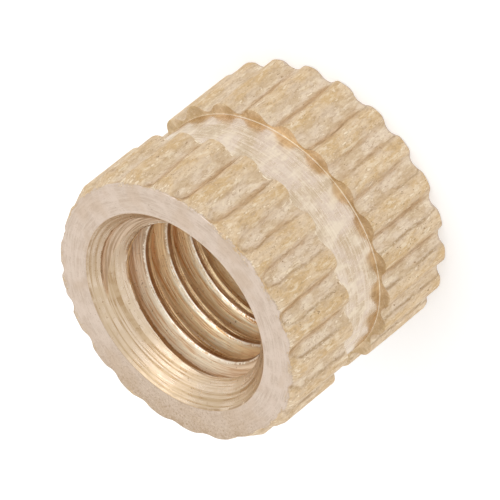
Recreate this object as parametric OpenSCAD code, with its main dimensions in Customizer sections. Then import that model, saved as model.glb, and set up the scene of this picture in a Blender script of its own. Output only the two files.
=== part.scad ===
// Knurled threaded insert: one turned brass bush with a tapped through hole.
// It is pressed into a moulded boss. The rolled teeth stop it turning there, and the
// groove round its waist fills with plastic and stops it pulling out.
// Millimetres. +Z runs up the axis from the end face that it stands on.

/* [Thread] */
// Nominal diameter of the internal metric thread
thread_d = 3; // [2:0.1:3.2]
// Pitch of the thread
thread_pitch = 0.5; // [0.25:0.05:0.8]
// How much wider than the thread each countersink is at its end face
mouth_clearance = 0.3; // [0.1:0.05:0.5]
// Included angle of the countersinks
countersink_angle = 90; // [70:5:120]

/* [Body] */
// Length from end face to end face
length = 3.5; // [3:0.1:12]
// Diameter over the crests of the teeth
knurl_d = 4.5; // [4.4:0.1:8]
// How far the lead-in at the upper end face narrows the body, in radius
lead_in = 0.075; // [0.04:0.005:0.12]
// Length of that lead-in, along the axis
lead_in_length = 0.26; // [0.15:0.01:0.4]
// Bevel that breaks the outer edge of the lower end face
edge_break = 0.04; // [0.02:0.01:0.12]

/* [Knurl] */
// Number of teeth round the body
teeth = 22; // [16:1:30]
// Depth of a tooth, from its crest to the valley beside it
tooth_depth = 0.14; // [0.08:0.01:0.2]
// Share of a tooth's outline that its round crest takes, the rest being the valley
crest_share = 0.55; // [0.45:0.01:0.65]

/* [Groove] */
// Width of the groove round the waist
groove_w = 0.85; // [0.4:0.05:1.6]
// How far the groove's floor lies below the valleys of the teeth
groove_step = 0.06; // [0.02:0.01:0.2]

/* [Hidden] */
brass = [0.83, 0.74, 0.58];
// How far a cutting shape runs past the face that it cuts
overrun = 0.5;
// How far a valley's arc bites into its neighbours, so that their edges cross cleanly
bite = 0.01;

crest_r = knurl_d / 2;
valley_r = crest_r - tooth_depth;
floor_r = valley_r - groove_step;
tooth_angle = 360 / teeth;

// The tapped hole is drawn as its wall at the crests of the thread (ISO 68-1)
hole_r = thread_d / 2 - 5 / 8 * cos(30) * thread_pitch;
mouth_r = (thread_d + mouth_clearance) / 2;
sink_slope = tan(countersink_angle / 2);
sink_depth = (mouth_r - hole_r) / sink_slope;

// A crest's arc and a valley's arc share one tangent where they meet when the distance
// between their centres is the sum of their radii. With h half a tooth's angle, that sum
// is the positive root of  quad * s^2 + lin * s - con = 0.
turn = 4 * pow(sin(tooth_angle / 4), 2);
arc_balance = (1 - crest_share) * crest_r - crest_share * valley_r;
quad = turn * crest_share * (1 - crest_share);
lin = 2 * tooth_depth - turn * arc_balance;
con = turn * crest_r * valley_r + tooth_depth * tooth_depth;
arc_sum = (sqrt(lin * lin + 4 * quad * con) - lin) / (2 * quad);
crest_arc = crest_share * arc_sum;
valley_arc = arc_sum - crest_arc + bite;

$fn = 64;

// Outline of the knurl: round crests standing on a core, with round valleys cut between
module knurl_outline() {
    difference() {
        union() {
            circle(r = valley_r + tooth_depth / 4, $fn = 180);
            for (i = [0 : teeth - 1])
                rotate(i * tooth_angle)
                    translate([crest_r - crest_arc, 0])
                        circle(r = crest_arc);
        }
        for (i = [0 : teeth - 1])
            rotate((i + 0.5) * tooth_angle)
                translate([valley_r + valley_arc, 0])
                    circle(r = valley_arc);
    }
}

// Turning blank: the space inside the lower bevel and the slender lead-in above, which
// centres the body in its boss
module bevelled_blank() {
    lead_run = overrun * lead_in / lead_in_length;
    rotate_extrude($fn = 180)
        polygon([
            [0, 0],
            [crest_r - edge_break, 0],
            [crest_r + overrun, edge_break + overrun],
            [crest_r + lead_run, length - lead_in_length - overrun],
            [crest_r - lead_in, length],
            [0, length]
        ]);
}

// Ring of metal that is turned away round the waist
module retention_groove() {
    translate([0, 0, (length - groove_w) / 2])
        difference() {
            cylinder(r = crest_r + overrun, h = groove_w, $fn = 180);
            translate([0, 0, -overrun])
                cylinder(r = floor_r, h = groove_w + 2 * overrun, $fn = 180);
        }
}

// Tapped through hole with a countersink at each end
module tapped_hole() {
    wide_r = mouth_r + overrun * sink_slope;
    rotate_extrude($fn = 180)
        polygon([
            [0, -overrun],
            [wide_r, -overrun],
            [hole_r, sink_depth],
            [hole_r, length - sink_depth],
            [wide_r, length + overrun],
            [0, length + overrun]
        ]);
}

module insert_body() {
    color(brass)
        difference() {
            intersection() {
                linear_extrude(height = length)
                    knurl_outline();
                bevelled_blank();
            }
            retention_groove();
            tapped_hole();
        }
}

insert_body();
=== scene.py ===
# %% [markdown]
# # A knurled threaded insert, built with nodes
# The insert is one piece of brass turned on a lathe: a bush whose outside is rolled into
# teeth, with a groove round its waist, a tapped hole through it and a countersink at each
# end. It is pressed into a moulded boss and takes a machine screw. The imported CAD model
# comes in first. It fixes the size and the place of everything that follows.

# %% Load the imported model
from math import atan2, cos, pi, radians, sin, sqrt

import bmesh
import bpy
from mathutils import Matrix, Vector


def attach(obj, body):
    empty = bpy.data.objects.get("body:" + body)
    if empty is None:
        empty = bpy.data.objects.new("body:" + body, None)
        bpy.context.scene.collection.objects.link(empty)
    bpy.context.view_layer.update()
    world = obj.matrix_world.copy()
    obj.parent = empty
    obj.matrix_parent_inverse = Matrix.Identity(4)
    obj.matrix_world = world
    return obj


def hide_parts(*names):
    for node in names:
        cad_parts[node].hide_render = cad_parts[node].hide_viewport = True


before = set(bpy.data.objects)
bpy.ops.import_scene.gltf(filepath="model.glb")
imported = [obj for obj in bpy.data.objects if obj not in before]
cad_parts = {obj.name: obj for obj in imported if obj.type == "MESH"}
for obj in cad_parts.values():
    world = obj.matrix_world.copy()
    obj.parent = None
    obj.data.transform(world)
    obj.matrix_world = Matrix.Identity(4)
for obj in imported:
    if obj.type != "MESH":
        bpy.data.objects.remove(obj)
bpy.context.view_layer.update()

# %% [markdown]
# ## Sizes
# The CAD source draws the insert in millimetres, and so does everything below. Blender
# works in metres, so the finished shape is scaled by a thousandth at the end of its tree.
# The values repeat the ones of the CAD source, because this file can't read that one.

# %% Sizes of the insert, in millimetres
MM = 0.001

LENGTH = 3.5
CREST_R = 2.25
VALLEY_R = 2.11
FLOOR_R = 2.05
GROOVE_W = 0.85
MOUTH_R = 1.65
TEETH = 22
CREST_SHARE = 0.55

PITCH = 0.5
MAJOR_R = 1.5
MINOR_R = MAJOR_R - 5 / 8 * PITCH * cos(radians(30))
THREAD_START = 0.1022

# Ring on the countersinks where the outside and the hole are welded together
SEAM_R = 1.51
SEAM_Z = MOUTH_R - SEAM_R
COLUMNS = 16 * TEETH

print("thread: minor diameter", round(2 * MINOR_R, 3), "mm")

# %% [markdown]
# ## Two helpers for node trees
# Blender's nodes can be wired by hand, but a shape that follows a rule reads better as a
# formula. `Wire` wraps one output socket, and arithmetic on it adds Math nodes, so that
# `radius * 2 + 1` makes two nodes. `Graph` owns a tree and adds any other node: it sets
# the node's settings first, then the values and links of its inputs. The same two classes
# serve geometry trees and material trees, because both have the same Math node.

# %% Wire and Graph
class Wire:
    def __init__(self, graph, socket):
        self.graph, self.socket = graph, socket

    def __getitem__(self, name):
        return Wire(self.graph, self.socket.node.outputs[name])

    def math(self, operation, *others):
        return self.graph.math(operation, self, *others)

    def __add__(self, other): return self.math("ADD", other)
    def __radd__(self, other): return self.math("ADD", other)
    def __sub__(self, other): return self.math("SUBTRACT", other)
    def __rsub__(self, other): return self.graph.math("SUBTRACT", other, self)
    def __mul__(self, other): return self.math("MULTIPLY", other)
    def __rmul__(self, other): return self.math("MULTIPLY", other)
    def __truediv__(self, other): return self.math("DIVIDE", other)


class Graph:
    def __init__(self, tree):
        self.tree = tree
        tree.nodes.clear()

    def put(self, socket, value):
        if isinstance(value, Wire):
            self.tree.links.new(value.socket, socket)
        else:
            socket.default_value = value

    def add(self, kind, settings=None, inputs=None, out=0):
        node = self.tree.nodes.new(kind)
        for name, value in (settings or {}).items():
            setattr(node, name, value)
        for key, value in (inputs or {}).items():
            self.put(node.inputs[key], value)
        return Wire(self, node.outputs[out]) if node.outputs else None

    def math(self, operation, *values):
        return self.add("ShaderNodeMath", {"operation": operation}, dict(enumerate(values)))

    def vector(self, x, y, z):
        return self.add("ShaderNodeCombineXYZ", None, {0: x, 1: y, 2: z})

    def vmath(self, operation, *values, out=0):
        return self.add("ShaderNodeVectorMath", {"operation": operation},
                        dict(enumerate(values)), out)

    def ramp(self, value, low, high, start=0.0, end=1.0):
        """A step from start at low to end at high, level beyond them."""
        return self.add("ShaderNodeMapRange", {"interpolation_type": "SMOOTHSTEP"},
                        {0: value, 1: low, 2: high, 3: start, 4: end})

    def noise(self, where, scale, detail=2.0, roughness=0.5):
        return self.add("ShaderNodeTexNoise", None, {
            "Vector": where, "Scale": scale, "Detail": detail, "Roughness": roughness})

# %% [markdown]
# ## Points in rows and columns
# Both skins of the insert, the outside and the hole, are sheets of points with two
# addresses: which row of a section, and which angle. A section is a short line of corners
# with rounded bends, as it would be on a drawing. Spin or Screw would turn one section
# round the axis, but a sheet can also change with the angle, which teeth and threads need.

# %% Drawing a rounded section
def by_index(g, kind, values):
    """A field that takes one value for each point, by its index."""
    node = g.tree.nodes.new("GeometryNodeIndexSwitch")
    node.data_type = kind
    while len(node.index_switch_items) < len(values):
        node.index_switch_items.new()
    g.put(node.inputs[0], g.add("GeometryNodeInputIndex"))
    for item, value in enumerate(values):
        g.put(node.inputs[item + 1], value)
    return Wire(g, node.outputs[0])


def rounded_line(g, corners, arc_points):
    """A curve through corners (radius, height, rounding of that corner)."""
    line = g.add("GeometryNodeMeshLine", None, {"Count": len(corners)})
    place = by_index(g, "VECTOR", [g.vector(r, 0.0, z) for r, z, _ in corners])
    line = g.add("GeometryNodeSetPosition", None, {"Geometry": line, "Position": place})
    curve = g.add("GeometryNodeMeshToCurve", None, {"Mesh": line})
    rounding = by_index(g, "FLOAT", [fillet for _, _, fillet in corners])
    return g.add("GeometryNodeFilletCurve", {"mode": "POLY"},
                 {"Curve": curve, "Count": arc_points, "Radius": rounding})


def subdivided(g, curve, step):
    """Extra points on the straight stretches, at most two steps apart."""
    index = g.add("GeometryNodeInputIndex")
    place = g.add("GeometryNodeInputPosition")
    ahead = g.add("GeometryNodeFieldAtIndex", {"data_type": "FLOAT_VECTOR"},
                  {"Value": place, "Index": index + 1.0})
    gap = g.vmath("DISTANCE", place, ahead, out=1)
    cuts = (gap / step).math("FLOOR").math("MINIMUM", 100.0)
    return g.add("GeometryNodeSubdivideCurve", None, {"Curve": curve, "Cuts": cuts})

# %% Reading a section, and laying a sheet
def sample(g, source, value, index, kind="FLOAT_VECTOR"):
    """The value that a field has at one point of another geometry."""
    return g.add("GeometryNodeSampleIndex", {"data_type": kind},
                 {"Geometry": source, "Value": value, "Index": index})


def point_count(g, curve):
    return g.add("GeometryNodeAttributeDomainSize", {"component": "CURVE"}, {0: curve})


def sheet(g, rows, columns, place):
    """A grid of points. place(row, column) gives each one's position, and named marks."""
    grid = g.add("GeometryNodeMeshGrid", None,
                 {"Vertices X": columns + 1, "Vertices Y": rows})
    index = g.add("GeometryNodeInputIndex")
    column = (index / rows).math("FLOOR")
    row = index - column * rows
    position, marks = place(row, column)
    for name, value in marks.items():
        grid = g.add("GeometryNodeStoreNamedAttribute", {"data_type": "FLOAT"},
                     {"Geometry": grid, "Name": name, "Value": value})
    return g.add("GeometryNodeSetPosition", None, {"Geometry": grid, "Position": position})

# %% [markdown]
# ## A rolled tooth
# The knurling tool leaves teeth with a round crest and a round valley. Their section is
# two arcs that meet on one tangent, and the crest takes a little more than half of each
# tooth. A cosine would be shorter to write, but it has the wrong share of crest. The arcs'
# radii come from the sizes, as they do in the CAD source, so the two shapes agree.

# %% Two arcs that meet on one tangent
TOOTH_ANGLE = 2 * pi / TEETH
TOOTH_DEPTH = CREST_R - VALLEY_R


def tooth_arcs():
    turn = 4 * sin(TOOTH_ANGLE / 4) ** 2
    balance = (1 - CREST_SHARE) * CREST_R - CREST_SHARE * VALLEY_R
    quad = turn * CREST_SHARE * (1 - CREST_SHARE)
    lin = 2 * TOOTH_DEPTH - turn * balance
    con = turn * CREST_R * VALLEY_R + TOOTH_DEPTH ** 2
    total = (sqrt(lin * lin + 4 * quad * con) - lin) / (2 * quad)
    return CREST_SHARE * total, (1 - CREST_SHARE) * total


CREST_ARC, VALLEY_ARC = tooth_arcs()
crest_centre = Vector((CREST_R - CREST_ARC, 0))
valley_reach = VALLEY_R + VALLEY_ARC
valley_centre = valley_reach * Vector((cos(TOOTH_ANGLE / 2), sin(TOOTH_ANGLE / 2)))
meeting = crest_centre + CREST_ARC * (valley_centre - crest_centre).normalized()
MEETING_ANGLE = atan2(meeting.y, meeting.x)
print("tooth arcs, mm:", round(CREST_ARC, 4), round(VALLEY_ARC, 4),
      "meeting", round(MEETING_ANGLE / TOOTH_ANGLE * 2, 3), "of half a tooth")

# %% The tooth as a field
def tooth_height(g, turn):
    """0 in a valley and 1 on a crest, from a place counted in teeth."""
    away = (turn - turn.math("ROUND")).math("ABSOLUTE") * TOOTH_ANGLE
    inside = TOOTH_ANGLE / 2 - away
    reach = CREST_R - CREST_ARC
    across = away.math("SINE") * reach
    crest = (away.math("COSINE") * reach
             + (CREST_ARC ** 2 - across * across).math("MAXIMUM", 0.0).math("SQRT"))
    across = inside.math("SINE") * valley_reach
    valley = (inside.math("COSINE") * valley_reach
              - (VALLEY_ARC ** 2 - across * across).math("MAXIMUM", 0.0).math("SQRT"))
    on_crest = away.math("LESS_THAN", MEETING_ANGLE)
    radius = valley + (crest - valley) * on_crest
    return (radius - VALLEY_R) / TOOTH_DEPTH

# %% [markdown]
# ## The outside
# The blank is turned first: end faces, bevelled ends and the groove. The teeth are rolled
# into it afterwards. So a point of the outside lies on the blank or on the knurl, whichever
# is nearer to the axis, and a smooth minimum rounds the edge between the two. That is why the
# teeth flatten out at the bevel, and the valleys narrow there. The bevel at one end is worn
# unevenly. Three short lists hold what differs there from tooth to tooth: how
# much the crest has lost, how much the valley beside it has lost, and how far that valley is
# closed near the end face, where a closed one ends in a U.

# %% Wear of the bevelled end, tooth by tooth (losses in millimetres, closing as a share)
BEVEL_WORN = (0.05, 0.06, 0.04, 0.01, 0.0, 0.0, 0.0, 0.02, 0.03, 0.03, 0.06,
              0.04, 0.02, 0.01, 0.0, 0.0, 0.0, 0.01, 0.02, 0.03, 0.03, 0.04)
VALLEY_WORN = (0.0, 0.01, 0.0, 0.0, 0.01, 0.03, 0.04, 0.03, 0.04, 0.03, 0.05,
               0.02, 0.0, 0.01, 0.0, 0.01, 0.0, 0.02, 0.0, 0.01, 0.0, 0.01)
VALLEY_CLOSED = (0.3, 0.1, 0.0, 0.0, 0.0, 0.0, 0.0, 0.0, 0.0, 0.0, 0.1,
                 0.1, 0.2, 0.3, 0.6, 1.0, 1.0, 1.0, 1.0, 1.0, 0.8, 0.5)
print("most worn tooth has lost", max(BEVEL_WORN), "mm")


def tooth_ring():
    """One point for each tooth, which carries what differs from tooth to tooth."""
    mesh = bpy.data.meshes.new("tooth_ring")
    mesh.from_pydata([(CREST_R * cos(i * TOOTH_ANGLE), CREST_R * sin(i * TOOTH_ANGLE), 0.0)
                      for i in range(TEETH)], [], [])
    for name, values in (("bevel_worn", BEVEL_WORN), ("valley_worn", VALLEY_WORN),
                         ("valley_closed", VALLEY_CLOSED)):
        mesh.attributes.new(name, "FLOAT", "POINT").data.foreach_set("value", values)
    return mesh


def ring_value(g, ring, name, turn):
    """A value stored for each tooth, read between two teeth as a smooth blend."""
    low = turn.math("FLOOR")
    value = g.add("GeometryNodeInputNamedAttribute", {"data_type": "FLOAT"}, {"Name": name})
    near = [(low + step).math("FLOORED_MODULO", float(TEETH)) for step in (0.0, 1.0)]
    first, second = (sample(g, ring, value, index, "FLOAT") for index in near)
    return first + (second - first) * g.ramp(turn - low, 0.2, 0.8)

# %% The outer skin
LEAD_IN, LEAD_IN_LENGTH = 0.075, 0.26
EDGE_BREAK = 0.04
# How far a tooth strays from its place, in teeth, and how deep its skin is pitted
WANDER, PITTING = 0.12, 0.026
# Rounding where the knurl runs out on the blank, and the depth of the chips at the bevel
BLEND, CHIP = 0.025, 0.03


def blank_section(g, size):
    """Mouth, end face, bevel and groove, from one countersink to the other."""
    length, groove_w, outer, floor = (size[name] for name in (
        "Length", "Groove width", "Crest radius", "Floor radius"))
    low, high = (length - groove_w) / 2.0, (length + groove_w) / 2.0
    corners = [
        (SEAM_R, length - SEAM_Z, 0.0), (MOUTH_R, length, 0.012),
        (outer - size["Lead-in"], length, 0.02),
        (outer, length - LEAD_IN_LENGTH, 0.12),
        (outer, high + 0.1, 0.0), (outer, high, 0.02), (floor, high, 0.018),
        (floor, low, 0.018), (outer, low, 0.02), (outer, low - 0.1, 0.0),
        (outer, 0.15, 0.0), (outer, EDGE_BREAK, 0.03), (outer - EDGE_BREAK, 0.0, 0.03),
        (MOUTH_R, 0.0, 0.012), (SEAM_R, SEAM_Z, 0.0)]
    return subdivided(g, rounded_line(g, corners, 4), 0.1)


def outside(g, size, ring):
    section = blank_section(g, size)
    place = g.add("GeometryNodeInputPosition")
    length = size["Length"]

    def put(row, column):
        angle = column * (2 * pi / COLUMNS)
        turn = column * (TEETH / COLUMNS)
        around = g.vector(angle.math("COSINE"), angle.math("SINE"), 0.0)
        point = g.add("ShaderNodeSeparateXYZ", None, {0: sample(g, section, place, row)})
        radius, z = point["X"], point["Z"]

        # No two teeth are pressed quite alike
        spot = g.vmath("ADD", g.vmath("MULTIPLY", around, (9.0, 9.0, 0.0)),
                       g.vector(0.0, 0.0, z * 2.0))
        wander = (g.noise(around, 2.2, 1.0) + g.noise(spot, 1.0, 1.0) - 1.0) * WANDER
        height = tooth_height(g, turn + wander)
        uneven = g.noise(spot, 1.0, 4.0, 0.7) * PITTING
        closed = (ring_value(g, ring, "valley_closed", turn - 0.5)
                  * g.ramp(z, length - 0.11, length) * (1.0 - height))
        knurl = size["Valley radius"] + TOOTH_DEPTH * (height + 0.5 * closed) - uneven

        # The upper bevel is worn, most near the end face
        front = g.ramp(z, length - 0.32, length - 0.02)
        worn = (ring_value(g, ring, "bevel_worn", turn) * front
                + ring_value(g, ring, "valley_worn", turn - 0.5) * front * (1.0 - height))
        chips = g.ramp(g.noise(around, 9.0, 3.0, 0.7), 0.55, 0.75) * CHIP * front
        skin = g.ramp(radius, FLOOR_R + 0.01, VALLEY_R - 0.02)
        blank = radius - (worn + chips) * skin
        near = g.math("SMOOTH_MIN", knurl, blank, BLEND)
        position = g.vector(near * angle.math("COSINE"), near * angle.math("SINE"), z)
        return position, {"dip": (blank - near) / TOOTH_DEPTH,
                          "side": ((turn + wander) * (2 * pi)).math("SINE"),
                          "on_bevel": g.ramp(knurl - blank, 0.0, 0.04) * skin}

    return sheet(g, point_count(g, section), COLUMNS, put)

# %% [markdown]
# ## The tapped hole
# The second sheet is the hole. Its section is one pitch of the thread, and each row climbs
# by one pitch in one turn, so the rows close on themselves a pitch higher. The two
# countersinks simply cut what lies inside them: the larger radius wins. A helix with a
# profile along it would need a boolean to end it, and booleans leave ragged meshes.

# %% The inner skin
def hole(g, size):
    length, pitch = size["Length"], size["Pitch"]
    minor, major = size["Minor radius"], size["Major radius"]
    thread = rounded_line(g, [
        (minor, pitch * -1 / 8, 0.0), (minor, 0.0, 0.055), (major, pitch * 5 / 16, 0.045),
        (major, pitch * 7 / 16, 0.045), (minor, pitch * 3 / 4, 0.03),
        (minor, pitch * 7 / 8, 0.0)], 4)
    thread = subdivided(g, thread, 0.07)
    place = g.add("GeometryNodeInputPosition")
    per_pitch = point_count(g, thread) - 1.0
    turns = int(LENGTH / PITCH + 2)

    def put(row, column):
        angle = column * (2 * pi / COLUMNS)
        lap = (row / per_pitch).math("FLOOR")
        point = g.add("ShaderNodeSeparateXYZ", None,
                      {0: sample(g, thread, place, row - lap * per_pitch)})
        z = (point["Z"] + THREAD_START + (lap - 1.0) * pitch
             + pitch * column / COLUMNS)
        z = z.math("MAXIMUM", SEAM_Z).math("MINIMUM", length - SEAM_Z)
        cone = (MOUTH_R - z).math("MAXIMUM", z - length + MOUTH_R)
        radius = point["X"].math("MAXIMUM", cone)
        return g.vector(radius * angle.math("COSINE"), radius * angle.math("SINE"), z), {}

    return sheet(g, per_pitch * turns + 1.0, COLUMNS, put)

# %% [markdown]
# ## From rule to mesh
# The two sheets are joined, welded along the seam and scaled to metres. The evaluated
# result becomes a plain mesh, so that the part no longer needs its tree.

# %% The tree
SIZES = {"Length": LENGTH, "Crest radius": CREST_R, "Valley radius": VALLEY_R,
         "Floor radius": FLOOR_R, "Groove width": GROOVE_W, "Lead-in": LEAD_IN,
         "Pitch": PITCH, "Major radius": MAJOR_R, "Minor radius": MINOR_R}
WELD = 0.0002


def insert_tree(material):
    tree = bpy.data.node_groups.new("threaded insert", "GeometryNodeTree")
    for way in ("INPUT", "OUTPUT"):
        tree.interface.new_socket("Geometry", in_out=way, socket_type="NodeSocketGeometry")
    sockets = {name: tree.interface.new_socket(name, in_out="INPUT",
                                               socket_type="NodeSocketFloat")
               for name in SIZES}
    g = Graph(tree)
    inputs = g.add("NodeGroupInput")
    size = {name: inputs[name] for name in SIZES}
    joined = g.add("GeometryNodeJoinGeometry")
    for part in (outside(g, size, inputs["Geometry"]), hole(g, size)):
        tree.links.new(part.socket, joined.socket.node.inputs[0])
    welded = g.add("GeometryNodeMergeByDistance", None,
                   {"Geometry": joined, "Distance": WELD})
    outward = g.add("GeometryNodeFlipFaces", None, {0: welded})
    scaled = g.add("GeometryNodeTransform", None, {"Geometry": outward, "Scale": (MM, MM, MM)})
    real = g.add("GeometryNodeRealizeInstances", None, {"Geometry": scaled})
    done = g.add("GeometryNodeSetMaterial", None, {"Geometry": real, "Material": material})
    output = tree.nodes.new("NodeGroupOutput")
    tree.links.new(done.socket, output.inputs[0])
    return tree, {sockets[name].identifier: value for name, value in SIZES.items()}

# %% Build the insert
def build_insert(material):
    carrier = bpy.data.objects.new("carrier", tooth_ring())
    bpy.context.scene.collection.objects.link(carrier)
    tree, values = insert_tree(material)
    modifier = carrier.modifiers.new("threaded insert", "NODES")
    modifier.node_group = tree
    for identifier, value in values.items():
        modifier[identifier] = value
    evaluated = carrier.evaluated_get(bpy.context.evaluated_depsgraph_get())
    mesh = bpy.data.meshes.new_from_object(evaluated)
    bpy.data.objects.remove(carrier)
    mesh.name = "turned_insert"
    mesh.shade_smooth()
    mesh.set_sharp_from_angle(angle=radians(40))
    piece = bpy.data.objects.new("turned_insert", mesh)
    bpy.context.scene.collection.objects.link(piece)
    return piece


def describe(piece):
    shape = bmesh.new()
    shape.from_mesh(piece.data)
    loose = sum(1 for edge in shape.edges if not edge.is_manifold)
    triangles = sum(len(face.verts) - 2 for face in shape.faces)
    volume = shape.calc_volume(signed=True) / MM ** 3
    shape.free()
    print(piece.name, "triangles", triangles, "open edges", loose,
          "volume mm3", round(volume, 2))


brass = bpy.data.materials.new("turned brass")
brass.use_nodes = True
insert = build_insert(brass)
describe(insert)

# %% Its place in the model
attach(insert, "root")
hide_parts("insert_body")

# %% [markdown]
# ## Brass
# The whole insert is one bare metal, but each tool left its own finish. The knurl is rough,
# golden on its crests and rosier in its valleys. The end faces and the groove were
# cut by a turning tool, and are paler. The countersink carries rings, and the thread
# carries fine lines that climb with it. A mask for each zone comes from the place on the
# object, in millimetres. An image could show more marks, but it would not scale.
#
# Three masks go by direction: one side of the hole is paler and glossier, another side of it
# is browner, and one half of the end face is duller. They stand in, at least in part, for
# uneven light, which the plain studio below doesn't give. They are fixed to the part and turn
# with it, so they can be left out where other light does that work.

# %% Masks for the zones
# How far below the end face the finish of the first turn is full, and where it ends
FIRST_TURN_FULL, FIRST_TURN_END = 0.75, 1.1


def zones(g, at, marks):
    """A soft mask, 0 to 1, for each finish.

    Thread, cone, groove, face and knurl share the surface between them. Wall, scraped and
    lit lie on top: the groove's walls, rough smears, and a glossy band near the crests.
    """
    up, radius = at["up"], at["radius"]
    in_hole = 1.0 - g.ramp(radius, MOUTH_R - 0.01, MOUTH_R + 0.01)
    cone_radius = up + (MOUTH_R - LENGTH / 2)
    off_cone = g.ramp((radius - cone_radius).math("ABSOLUTE"), 0.004, 0.012)
    groove = 1.0 - g.ramp(up, GROOVE_W / 2 - 0.01, GROOVE_W / 2 + 0.01)
    groove = groove * (1.0 - in_hole)
    # The face's outer edge is crumbled
    rim = g.ramp(radius, VALLEY_R - 0.04, VALLEY_R)
    crumbs = (marks["grain"] + marks["mottle"] - 1.0) * rim
    face = g.ramp(up + crumbs * 0.1, LENGTH / 2 - 0.016, LENGTH / 2 - 0.006)
    face = face * (1.0 - in_hole)
    # On the pale side of the hole the flanks are smeared, and glossy near their crests
    smears = at["first turn"].math("MAXIMUM", g.ramp(marks["mottle"], 0.50, 0.62, 0.0, 0.5))
    scraped = at["clean"] * smears * g.ramp(radius, MINOR_R + 0.01, MINOR_R + 0.03)
    lit = at["clean"] * (1.0 - g.ramp(radius, MINOR_R + 0.03, MINOR_R + 0.09))
    lit = lit * g.ramp(marks["mottle"], 0.38, 0.52, 0.4, 1.0)
    return {"thread": in_hole * off_cone, "cone": in_hole * (1.0 - off_cone),
            "scraped": in_hole * off_cone * scraped, "lit": in_hole * off_cone * lit,
            "groove": groove, "face": face,
            "wall": groove * g.ramp(radius, FLOOR_R + 0.003, FLOOR_R + 0.012),
            "knurl": (1.0 - in_hole) * (1.0 - groove) * (1.0 - face)}


def places(g):
    """Where a point is, in mm: along the axis, from the axis and round it."""
    where = g.vmath("MULTIPLY", g.add("ShaderNodeTexCoord")["Object"], (1 / MM,) * 3)
    axes = g.add("ShaderNodeSeparateXYZ", None, {0: where})
    x, y, z = axes["X"], axes["Y"], axes["Z"]
    radius, up = (x * x + y * y).math("SQRT"), (z - LENGTH / 2).math("ABSOLUTE")
    return {"where": where, "x": x, "y": y, "z": z,
            "radius": radius, "angle": y.math("ARCTAN2", x),
            "up": up,
            # One side of the hole is painted paler, as painted light, and another browner, as
            # painted shade, by direction on the part
            "clean": g.ramp((y * 0.98 - x * 0.17) / radius, 0.6, 0.95),
            "stained": g.ramp(x / radius, 0.7, 0.95),
            "first turn": g.ramp(up, LENGTH / 2 - FIRST_TURN_END, LENGTH / 2 - FIRST_TURN_FULL)}

# %% Marks of the tools
def tool_marks(g, at):
    where, x, y, z, radius = (at[name] for name in ("where", "x", "y", "z", "radius"))

    def stretched(along, scale, detail, roughness, shift=0.0):
        moved = g.vmath("MULTIPLY_ADD", where, (1.0, 1.0, along), (shift, shift, shift))
        return g.noise(moved, scale, detail, roughness)

    phase = ((z - THREAD_START) / PITCH - at["angle"] / (2 * pi)) * (2 * pi)
    helix = g.vmath("ADD", g.vector(phase.math("COSINE"), phase.math("SINE"), radius * 12.0),
                    g.vmath("MULTIPLY", where, (0.5, 0.5, 0.2)))
    return {
        "fine streak": stretched(0.35, 22.0, 2.0, 0.6),
        "broad streak": stretched(0.3, 10.0, 3.0, 0.65),
        "mottle": stretched(0.5, 5.0, 3.0, 0.6),
        "patches": stretched(1.0, 2.2, 2.0, 0.5),
        "speck": stretched(0.6, 24.0, 2.0, 0.7, 2.0),
        "spark": stretched(0.4, 19.0, 2.0, 0.5, 5.0),
        "grain": stretched(1.0, 45.0, 2.0, 0.6),
        "face rings": g.noise(g.vector(radius * 40.0, x * 3.0, y * 3.0), 1.0, 3.0, 0.7),
        "cone rings": g.noise(g.vector(radius * 30.0, x * 0.45, y * 0.45), 1.0, 4.0, 0.7),
        "groove lines": g.noise(g.vector(z * 34.0, x * 1.5, y * 1.5), 1.0, 4.0, 0.7),
        "helix lines": g.noise(helix, 2.4, 3.0, 0.65),
        "thread phase": phase,
    }

# %% Colour of the rolled teeth
def tint(g, factor, first, second):
    first, second = (c if isinstance(c, Wire) else (*c, 1.0) for c in (first, second))
    return g.add("ShaderNodeMix", {"data_type": "RGBA"}, {0: factor, 6: first, 7: second}, 2)


BROWN = (0.34, 0.20, 0.10)
BRIGHT = (1.0, 0.87, 0.68)


def specks(g, marks, colour, least, strength):
    """Brown pits, which lie in clusters."""
    cluster = g.ramp(marks["patches"], 0.42, 0.6) * 0.05
    pit = g.ramp(marks["speck"] + cluster, least, least + 0.06)
    return tint(g, pit * strength, colour, BROWN)


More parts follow.
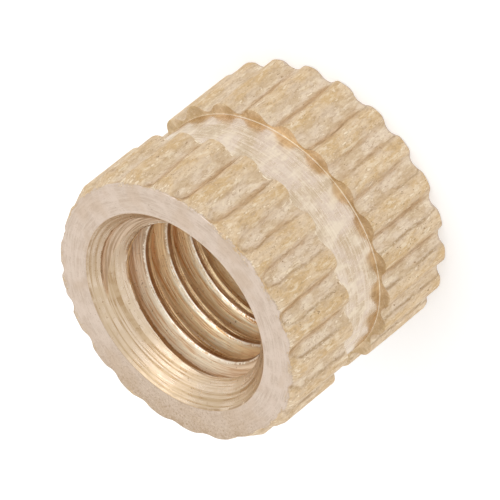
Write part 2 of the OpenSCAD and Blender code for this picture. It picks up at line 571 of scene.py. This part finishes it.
def knurl_colour(g, marks, at, dip, side, on_bevel):
    """dip is 0 on the turned surface and 1 in a valley. side tells a tooth's flanks apart."""
    mottle, fine, broad = marks["mottle"], marks["fine streak"], marks["broad streak"]
    gold = tint(g, g.ramp(mottle, 0.40, 0.60), (0.71, 0.495, 0.26), (0.79, 0.60, 0.39))
    rose = tint(g, g.ramp(mottle, 0.40, 0.60), (0.69, 0.52, 0.34), (0.82, 0.67, 0.51))
    high = g.ramp((broad - 0.5) * 2.0 - dip, -0.9, 0.1)
    colour = tint(g, high, rose, gold)
    # A painted shadow line lies at the foot of each valley, darker on one flank than on the
    # other
    foot = g.ramp(dip, 0.40, 0.58) * (1.0 - g.ramp(dip, 0.62, 0.80))
    foot = foot * g.ramp(side, -0.4, 0.4, 0.3, 1.0)
    colour = tint(g, foot * g.ramp(mottle + broad, 0.8, 1.1) * 0.8, colour, (0.42, 0.27, 0.14))
    colour = tint(g, on_bevel * 0.35, colour, (0.78, 0.64, 0.49))
    colour = tint(g, g.ramp(fine, 0.52, 0.7) * 0.4, colour, (0.96, 0.81, 0.60))
    colour = tint(g, g.ramp(fine, 0.46, 0.30) * 0.45, colour, (0.48, 0.32, 0.19))
    colour = tint(g, g.ramp(broad, 0.46, 0.28) * 0.35, colour, (0.54, 0.37, 0.22))
    colour = tint(g, g.ramp(broad, 0.54, 0.68) * 0.6, colour, (0.96, 0.83, 0.64))
    colour = tint(g, g.ramp(marks["grain"], 0.54, 0.70) * 0.2, colour, BRIGHT)
    colour = tint(g, g.ramp(marks["grain"], 0.44, 0.30) * 0.2, colour, (0.48, 0.33, 0.19))
    # Painted glints: bright spots with a painted shade round each, most of them on the crests
    # and the bevel
    glint = marks["spark"] + 0.08 * on_bevel + (mottle - 0.5) * 0.25 + 0.03 * (high - 0.5)
    rim = g.ramp(glint, 0.57, 0.62) * (1.0 - g.ramp(glint, 0.62, 0.67))
    colour = tint(g, rim * 0.35, colour, (0.50, 0.33, 0.16))
    colour = tint(g, g.ramp(glint, 0.63, 0.75) * 0.65, colour, BRIGHT)
    # A thin painted highlight lies along the groove's upper edge, where the valleys run out
    above_lip = at["z"] - (LENGTH + GROOVE_W) / 2 - 0.01
    lip = 1.0 - g.ramp(above_lip.math("ABSOLUTE"), 0.004, 0.02)
    lip = lip * g.ramp(dip, 0.3, 0.8) * g.ramp(marks["spark"], 0.46, 0.56)
    colour = tint(g, lip, colour, BRIGHT)
    return specks(g, marks, colour, 0.70, 0.8)

# %% Colour of the cut faces
def ring_colour(g, lines, dark, pale, low=0.36, high=0.66):
    return tint(g, g.ramp(lines, low, high), dark, pale)


def face_colour(g, at, marks):
    colour = ring_colour(g, marks["face rings"], (0.62, 0.49, 0.39), (0.73, 0.61, 0.51))
    colour = tint(g, g.ramp(marks["mottle"], 0.4, 0.62) * 0.7, colour, (0.76, 0.63, 0.53))
    colour = tint(g, g.ramp(marks["patches"], 0.5, 0.36) * 0.4, colour, (0.62, 0.47, 0.34))
    colour = tint(g, g.ramp(marks["grain"], 0.45, 0.25) * 0.5, colour, (0.52, 0.39, 0.27))
    # One half of the face is painted duller and darker, by direction on the part: in part a
    # painted shade, in part a coarser finish, and mottled brown near its rim
    dull_and_shaded = g.ramp(at["y"] * 0.8 - at["x"] * 0.6, 0.8, 2.2)
    colour = tint(g, dull_and_shaded * 0.5, colour, (0.52, 0.38, 0.25))
    stained = dull_and_shaded * g.ramp(marks["mottle"], 0.5, 0.62) * g.ramp(at["radius"], 1.85, 2.1)
    colour = tint(g, stained * 0.5, colour, (0.42, 0.28, 0.16))
    rough = marks["grain"] + (marks["speck"] - 0.5) * 0.6
    colour = tint(g, dull_and_shaded * g.ramp(rough, 0.48, 0.30) * 0.7, colour, (0.42, 0.28, 0.17))
    colour = tint(g, dull_and_shaded * g.ramp(rough, 0.56, 0.74) * 0.3, colour, BRIGHT)
    return specks(g, marks, colour, 0.72, 0.6)


def groove_colour(g, at, marks):
    colour = ring_colour(g, marks["groove lines"], (0.64, 0.485, 0.33), (0.88, 0.74, 0.585))
    colour = tint(g, g.ramp(marks["patches"], 0.44, 0.60) * 0.6, colour, (0.80, 0.66, 0.56))
    colour = tint(g, g.ramp(marks["patches"], 0.48, 0.34) * 0.6, colour, (0.62, 0.48, 0.32))
    colour = tint(g, g.ramp(marks["mottle"], 0.50, 0.66) * 0.6, colour, (0.96, 0.83, 0.65))
    colour = tint(g, g.ramp(marks["mottle"], 0.46, 0.32) * 0.4, colour, (0.60, 0.45, 0.29))
    colour = tint(g, g.ramp(marks["speck"], 0.52, 0.68) * 0.4, colour, BRIGHT)
    # The groove's walls are painted a darker, mottled golden-brown, as painted shade in the
    # recess
    wall = g.ramp(at["radius"] + (marks["grain"] - 0.5) * 0.02, FLOOR_R, FLOOR_R + 0.02)
    wall_mottle = g.ramp(marks["mottle"], 0.36, 0.62)
    colour = tint(g, wall, colour, tint(g, wall_mottle, (0.54, 0.40, 0.22), (0.77, 0.61, 0.40)))
    return specks(g, marks, colour, 0.76, 0.5)


def cone_colour(g, at, marks):
    colour = ring_colour(g, marks["cone rings"],
                         (0.46, 0.31, 0.17), (0.745, 0.60, 0.455), 0.38, 0.55)
    colour = tint(g, g.ramp(marks["mottle"], 0.42, 0.6) * 0.5, colour, (0.66, 0.51, 0.34))
    # The outer band of the countersink is painted darker in patches, as painted shade where its
    # highlight falls off
    outer = g.ramp(at["radius"], 1.42, MOUTH_R) * g.ramp(marks["patches"], 0.35, 0.55)
    colour = tint(g, outer * 0.45, colour, (0.52, 0.38, 0.23))
    # One side of the countersink is painted browner, as painted shade
    colour = tint(g, at["stained"] * 0.3, colour, (0.44, 0.31, 0.22))
    # A brown line is painted along the mouth's edge as painted shade, except on the side of
    # painted light
    mouth = g.ramp(at["radius"], MOUTH_R - 0.03, MOUTH_R - 0.01)
    mouth = mouth * g.ramp(marks["mottle"], 0.4, 0.55) * (1.0 - at["clean"])
    colour = tint(g, mouth * 0.7, colour, BROWN)
    return specks(g, marks, colour, 0.68, 0.6)


def thread_colour(g, at, marks):
    lines, radius, clean = marks["helix lines"], at["radius"], at["clean"]
    rough_edge = (marks["speck"] - 0.5) * 0.5
    # The flanks come in two copies by side: a more orange one as painted shade, and on the side
    # of painted light a paler one with bright painted highlight lines
    shaded_flank = ring_colour(g, lines, (0.87, 0.52, 0.26), (1.0, 0.76, 0.45), 0.36, 0.52)
    flank = ring_colour(g, lines, (0.76, 0.45, 0.21), (1.0, 0.83, 0.56), 0.36, 0.46)
    flank = tint(g, clean, shaded_flank, tint(g, g.ramp(lines, 0.55, 0.59), flank, (1.0, 0.93, 0.76)))
    flank = tint(g, g.ramp(marks["mottle"], 0.5, 0.36) * 0.3, flank, (0.76, 0.50, 0.26))
    # The first turn is painted paler and rosier, as painted light, in two copies by side, and
    # browner on the side of painted shade
    first_turn = at["first turn"]
    rosy = ring_colour(g, lines, (0.70, 0.46, 0.27), (0.97, 0.79, 0.60), 0.36, 0.56)
    pale = ring_colour(g, lines, (0.78, 0.54, 0.32), (1.0, 0.90, 0.72), 0.38, 0.54)
    flank = tint(g, first_turn * 0.9, flank, tint(g, clean, rosy, pale))
    flank = tint(g, first_turn * at["stained"] * 0.5, flank, (0.46, 0.32, 0.22))
    shallow = g.ramp(at["up"], LENGTH / 2 - 0.45, LENGTH / 2 - 0.32) * (1.0 - clean)
    like_cone = ring_colour(g, lines, (0.42, 0.28, 0.17), (0.74, 0.57, 0.42))
    flank = tint(g, shallow, flank, like_cone)
    # Near the crest a flank mirrors the open mouth, where deeper parts mirror each other.
    # So it is darkened there, and lightened on the pale side
    open_part = 1.0 - g.ramp(radius, MINOR_R + 0.03, MINOR_R + 0.09)
    flank = tint(g, open_part * (1.0 - clean) * 0.6, flank, (0.52, 0.38, 0.26))
    lit = clean * open_part * g.ramp(lines, 0.38, 0.50)
    flank = tint(g, lit * 0.8, flank, (0.97, 0.86, 0.69))
    # The crest flats are painted a darker brown, as painted shade of the dark bore that they
    # mirror
    crest = ring_colour(g, lines, (0.50, 0.29, 0.13), (1.0, 0.78, 0.48), 0.38, 0.55)
    crest = tint(g, g.ramp(marks["mottle"], 0.54, 0.42) * 0.4, crest, (0.62, 0.39, 0.18))
    on_crest = 1.0 - g.ramp(radius, MINOR_R + 0.004, MINOR_R + 0.014)
    colour = tint(g, on_crest, flank, crest)
    # A painted highlight runs along the crest's rounded edge, with a painted shadow line beside
    # it
    edge = g.ramp(radius, MINOR_R + 0.003, MINOR_R + 0.008) * (
        1.0 - g.ramp(radius + rough_edge * 0.2, MINOR_R + 0.022, MINOR_R + 0.034))
    colour = tint(g, edge * g.ramp(marks["mottle"], 0.38, 0.50), colour, (1.0, 0.91, 0.77))
    beside = (marks["thread phase"] + 0.3 + rough_edge).math("COSINE")
    colour = tint(g, g.ramp(beside, 0.80, 0.95) * on_crest * 0.8, colour, (0.35, 0.17, 0.07))
    # The roots are painted brown, as painted shade in the thread's deepest crease, most in the
    # first turn on the side of painted light
    root = g.ramp(radius + rough_edge * 0.06, MAJOR_R - 0.04, MAJOR_R - 0.02)
    colour = tint(g, root * (0.35 + 0.55 * clean * first_turn), colour, (0.46, 0.23, 0.08))
    return specks(g, marks, colour, 0.68, 0.7)


def brass_colour(g, at, marks, zone, dip, side, on_bevel):
    colour = knurl_colour(g, marks, at, dip, side, on_bevel)
    finishes = {"face": face_colour, "groove": groove_colour, "cone": cone_colour}
    for name, finish in finishes.items():
        colour = tint(g, zone[name], colour, finish(g, at, marks))
    return tint(g, zone["thread"], colour, thread_colour(g, at, marks))

# %% Relief and gloss
MICRON = MM / 1000


def brass_relief(g, marks, zone):
    """Height of the tool marks, in thousandths of a millimetre."""
    grain = marks["grain"]
    knurl = marks["fine streak"] * 5.0 + marks["broad streak"] * 9.0 + grain * 2.0
    face = marks["face rings"] * 2.0 + grain * 1.2
    groove = marks["groove lines"] * 1.5 + marks["patches"] * 20.0
    cone = marks["cone rings"] * 12.0 + grain * 0.8
    thread = marks["helix lines"] * 14.0 + grain * 1.0
    height = (knurl * zone["knurl"] + face * zone["face"] + groove * zone["groove"]
              + cone * zone["cone"] + thread * zone["thread"])
    return g.add("ShaderNodeBump", None, {"Strength": 1.0, "Distance": MICRON, "Height": height})


def brass_metal(zone):
    """The thread is less than fully metallic, which lightens turns that mirror each other."""
    return 1.0 - 0.35 * zone["thread"] - 0.3 * zone["scraped"] + 0.4 * zone["lit"]


def brass_roughness(g, marks, zone):
    rough = (0.42 * zone["knurl"] + 0.40 * zone["face"] + 0.28 * zone["groove"]
             + 0.28 * zone["cone"] + 0.36 * zone["thread"] + 0.35 * zone["wall"]
             + 0.16 * zone["scraped"] - 0.16 * zone["lit"])
    return rough + (marks["mottle"] - 0.5) * 0.15


def finish_brass(material):
    g = Graph(material.node_tree)
    at = places(g)
    marks = tool_marks(g, at)
    zone = zones(g, at, marks)
    dip, side, on_bevel = (g.add("ShaderNodeAttribute", {"attribute_name": name})["Fac"]
                           for name in ("dip", "side", "on_bevel"))
    shader = g.add("ShaderNodeBsdfPrincipled", None, {
        "Base Color": brass_colour(g, at, marks, zone, dip, side, on_bevel),
        "Metallic": brass_metal(zone),
        "Roughness": brass_roughness(g, marks, zone), "Normal": brass_relief(g, marks, zone),
        "Specular IOR Level": 0.1, "Specular Tint": (1.0, 0.97, 0.92, 1.0)})
    g.add("ShaderNodeOutputMaterial", None, {"Surface": shader})
    print("brass material nodes:", len(g.tree.nodes))


finish_brass(brass)

# %% [markdown]
# ## Floor
# The insert stands on a plain white sheet, on its end face. Metal is only as bright as what
# it mirrors, so the sheet also shines evenly for glossy rays. The little glow that only
# the camera sees turns the sheet white and keeps the soft shadow at the insert's foot.

# %% A white sheet
FLOOR_HALF = 0.5


def floor_finish(material):
    g = Graph(material.node_tree)
    rays = g.add("ShaderNodeLightPath")
    matte = g.add("ShaderNodeBsdfDiffuse", None, {"Color": (0.9, 0.9, 0.9, 1)})
    glow = g.add("ShaderNodeEmission", None,
                 {"Color": (1, 1, 1, 1), "Strength": 0.25 * rays["Is Camera Ray"]})
    seen = g.add("ShaderNodeAddShader", None, {0: matte, 1: glow})
    mirrored = g.add("ShaderNodeEmission", None, {"Color": (1, 1, 1, 1), "Strength": 1.0})
    glossy = rays["Is Glossy Ray"].math("MAXIMUM", rays["Is Transmission Ray"])
    g.add("ShaderNodeOutputMaterial", None, {"Surface": g.add(
        "ShaderNodeMixShader", None, {0: glossy, 1: seen, 2: mirrored})})


floor_mesh = bpy.data.meshes.new("floor")
floor_mesh.from_pydata([(-FLOOR_HALF, -FLOOR_HALF, 0), (FLOOR_HALF, -FLOOR_HALF, 0),
                        (FLOOR_HALF, FLOOR_HALF, 0), (-FLOOR_HALF, FLOOR_HALF, 0)],
                       [], [(0, 1, 2, 3)])
white_sheet = bpy.data.materials.new("white sheet")
white_sheet.use_nodes = True
floor_finish(white_sheet)
floor_mesh.materials.append(white_sheet)
floor = bpy.data.objects.new("floor", floor_mesh)
bpy.context.scene.collection.objects.link(floor)

# %% [markdown]
# ## Camera
# A long lens from about 108 mm away shows one mouth of the insert and its side at once. The
# camera is rolled, so that the insert's axis runs across the picture from corner to corner.
# Three directions at right angles say exactly how it is held, where angles would be easy to
# take in the wrong order.

# %% A long lens, rolled
CAMERA_AT = Vector((-4.9276, -87.0889, 65.9680))
CAMERA_RIGHT = Vector((-0.65114, -0.42615, -0.62802))
CAMERA_UP = Vector((0.75758, -0.41476, -0.50403))
CAMERA_BACK = CAMERA_RIGHT.cross(CAMERA_UP)
MIDDLE = Vector((0, 0, LENGTH / 2))
SENSOR_WIDTH, FOCAL_LENGTH = 36.0, 537.35

camera_data = bpy.data.cameras.new("camera")
camera_data.sensor_width = SENSOR_WIDTH
camera_data.lens = FOCAL_LENGTH
camera_data.clip_start = 0.001
camera_data.clip_end = 10.0
camera = bpy.data.objects.new("camera", camera_data)
bpy.context.scene.collection.objects.link(camera)
held = Matrix((CAMERA_RIGHT, CAMERA_UP, CAMERA_BACK)).transposed().to_4x4()
camera.matrix_world = Matrix.Translation(CAMERA_AT * MM) @ held
bpy.context.scene.camera = camera
print("camera distance, mm:", round((CAMERA_AT - MIDDLE).length, 1))

# %% [markdown]
# ## Light
# Small metal parts are lit in a white tent: light comes from all round, and one softbox
# brightens one side. The tent is the world, and the softbox is a rectangular area lamp. Its
# level is that of its face, as the brass mirrors it.

# %% Tent and softbox
KEY_WIDTH, KEY_HEIGHT = 60.0, 36.0
KEY_LEVEL = 1.2
KEY_DISTANCE = 80.0
KEY_BEARING, KEY_RISE = radians(-33), radians(55)


def softbox(name, bearing, rise, level):
    """An area lamp that faces the insert, by its direction round and above it."""
    lamp = bpy.data.lights.new(name, "AREA")
    lamp.shape = "RECTANGLE"
    lamp.size, lamp.size_y = KEY_WIDTH * MM, KEY_HEIGHT * MM
    lamp.energy = level * pi * lamp.size * lamp.size_y
    box = bpy.data.objects.new(name, lamp)
    bpy.context.scene.collection.objects.link(box)
    place = MIDDLE + KEY_DISTANCE * Vector((cos(rise) * cos(bearing), cos(rise) * sin(bearing),
                                            sin(rise)))
    turned = (MIDDLE - place).to_track_quat("-Z", "Y").to_matrix().to_4x4()
    box.matrix_world = Matrix.Translation(place * MM) @ turned


softbox("softbox", KEY_BEARING, KEY_RISE, KEY_LEVEL)

tent = bpy.data.worlds.new("light tent")
bpy.context.scene.world = tent
tent.use_nodes = True
g = Graph(tent.node_tree)
cloth = g.add("ShaderNodeBackground", None, {"Color": (1, 1, 1, 1), "Strength": 1.0})
g.add("ShaderNodeOutputWorld", None, {"Surface": cloth})

bpy.context.scene.view_settings.view_transform = "Standard"
